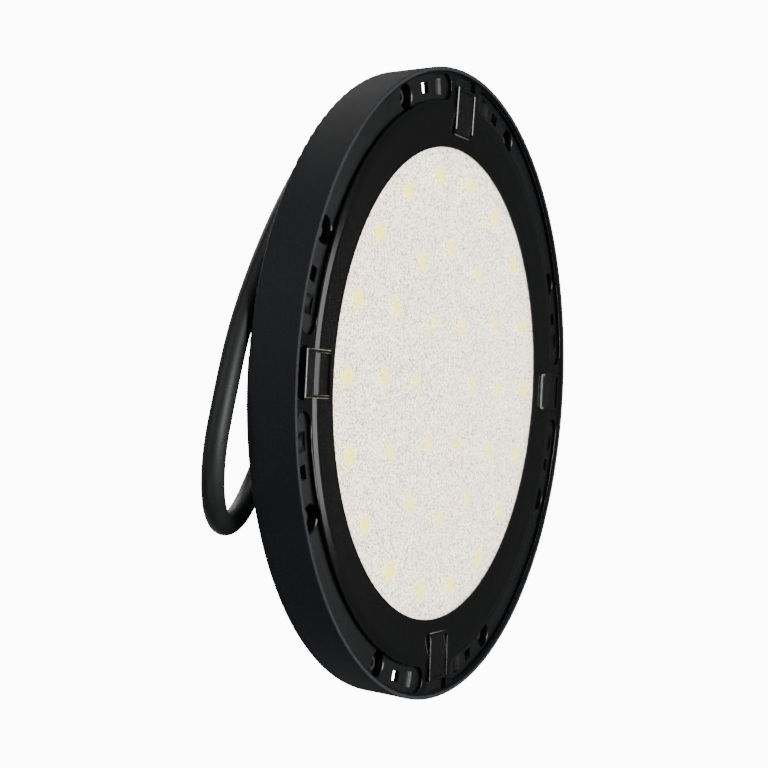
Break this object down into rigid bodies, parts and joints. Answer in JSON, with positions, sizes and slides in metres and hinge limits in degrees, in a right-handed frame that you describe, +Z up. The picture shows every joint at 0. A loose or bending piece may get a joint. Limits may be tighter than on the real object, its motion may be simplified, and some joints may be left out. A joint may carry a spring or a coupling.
{
  "type": "high bay light",
  "caption": "Round slim high bay light with a frosted lens, clipped front ring, finned die-cast back, hanging eye and a loose mains lead with a bare end.",
  "frame": {"origin": "centre of the front rim plane, on the light's own axis", "axes": "+Z along the light's axis from the front rim to the back, so the light hangs by its eye with +Z up and shines to -Z; +X towards one of the four clips; +Y completes the right-handed frame"},
  "size_m": [0.28, 0.2906, 0.084],
  "materials": {
    "housing": "fine textured matte black powder coat",
    "front_ring": "semi-gloss black paint",
    "clip": "semi-gloss black paint on sheet steel",
    "black_screw": "blackened steel",
    "zinc_screw": "zinc plated",
    "eye": "black paint on forged steel",
    "lens": "frosted diffuser, fine grain",
    "seal_rubber": "silicone rubber",
    "led_board": "white solder mask on aluminium",
    "led_chip": "yellow phosphor",
    "thermal_pad": "grey pad",
    "white_plastic": "nylon",
    "lead_wire": "silicone insulation",
    "gland_plastic": "moulded nylon, black",
    "lead_sheath": "rubber sheath, black",
    "brown_core": "insulation, brown",
    "blue_core": "insulation, blue",
    "earth_core": "insulation, green and yellow",
    "ferrule": "tinned",
    "terminal_block": "moulded plastic, green",
    "driver_board": "glass laminate, green",
    "transformer": "ferrite core with wrapped bobbin",
    "capacitor": "sleeved aluminium can",
    "film_capacitor": "cast resin",
    "choke": "wound ferrite ring",
    "sink": "sawn plate"
  },
  "bodies": {
    "root": {"bend_sleeve": "seal_rubber", "board_connector": "white_plastic", "board_screws": "zinc_screw", "board_spacers": "white_plastic", "clip_bottom": "clip", "clip_left": "clip", "clip_right": "clip", "clip_top": "clip", "core_ferrules": "ferrule", "cover_gasket": "seal_rubber", "cover_screws": "black_screw", "driver_board": "driver_board", "driver_board_screws": "zinc_screw", "driver_cover": "housing", "earth_core": "earth_core", "earth_screw": "ferrule", "eye_bolt": "eye", "eye_nut": "zinc_screw", "eye_washer": "zinc_screw", "film_capacitor": "film_capacitor", "filter_choke": "choke", "front_ring": "front_ring", "gland_body": "gland_plastic", "gland_dome_nut": "gland_plastic", "gland_lock_nut": "gland_plastic", "gland_seal": "seal_rubber", "grommet": "seal_rubber", "housing": "housing", "inlet_cores": "lead_wire", "input_capacitor": "capacitor", "lead_inner_end": "lead_sheath", "led_board": "led_board", "led_chips": "led_chip", "led_leads": "lead_wire", "lens": "lens", "lens_gasket": "seal_rubber", "live_core": "brown_core", "mains_lead": "lead_sheath", "neutral_core": "blue_core", "output_capacitor": "capacitor", "ring_screws": "black_screw", "terminal_block": "terminal_block", "thermal_pad": "thermal_pad", "transformer": "transformer", "transistor_sink": "sink", "vent_plug": "gland_plastic"}
  },
  "joints": []
}
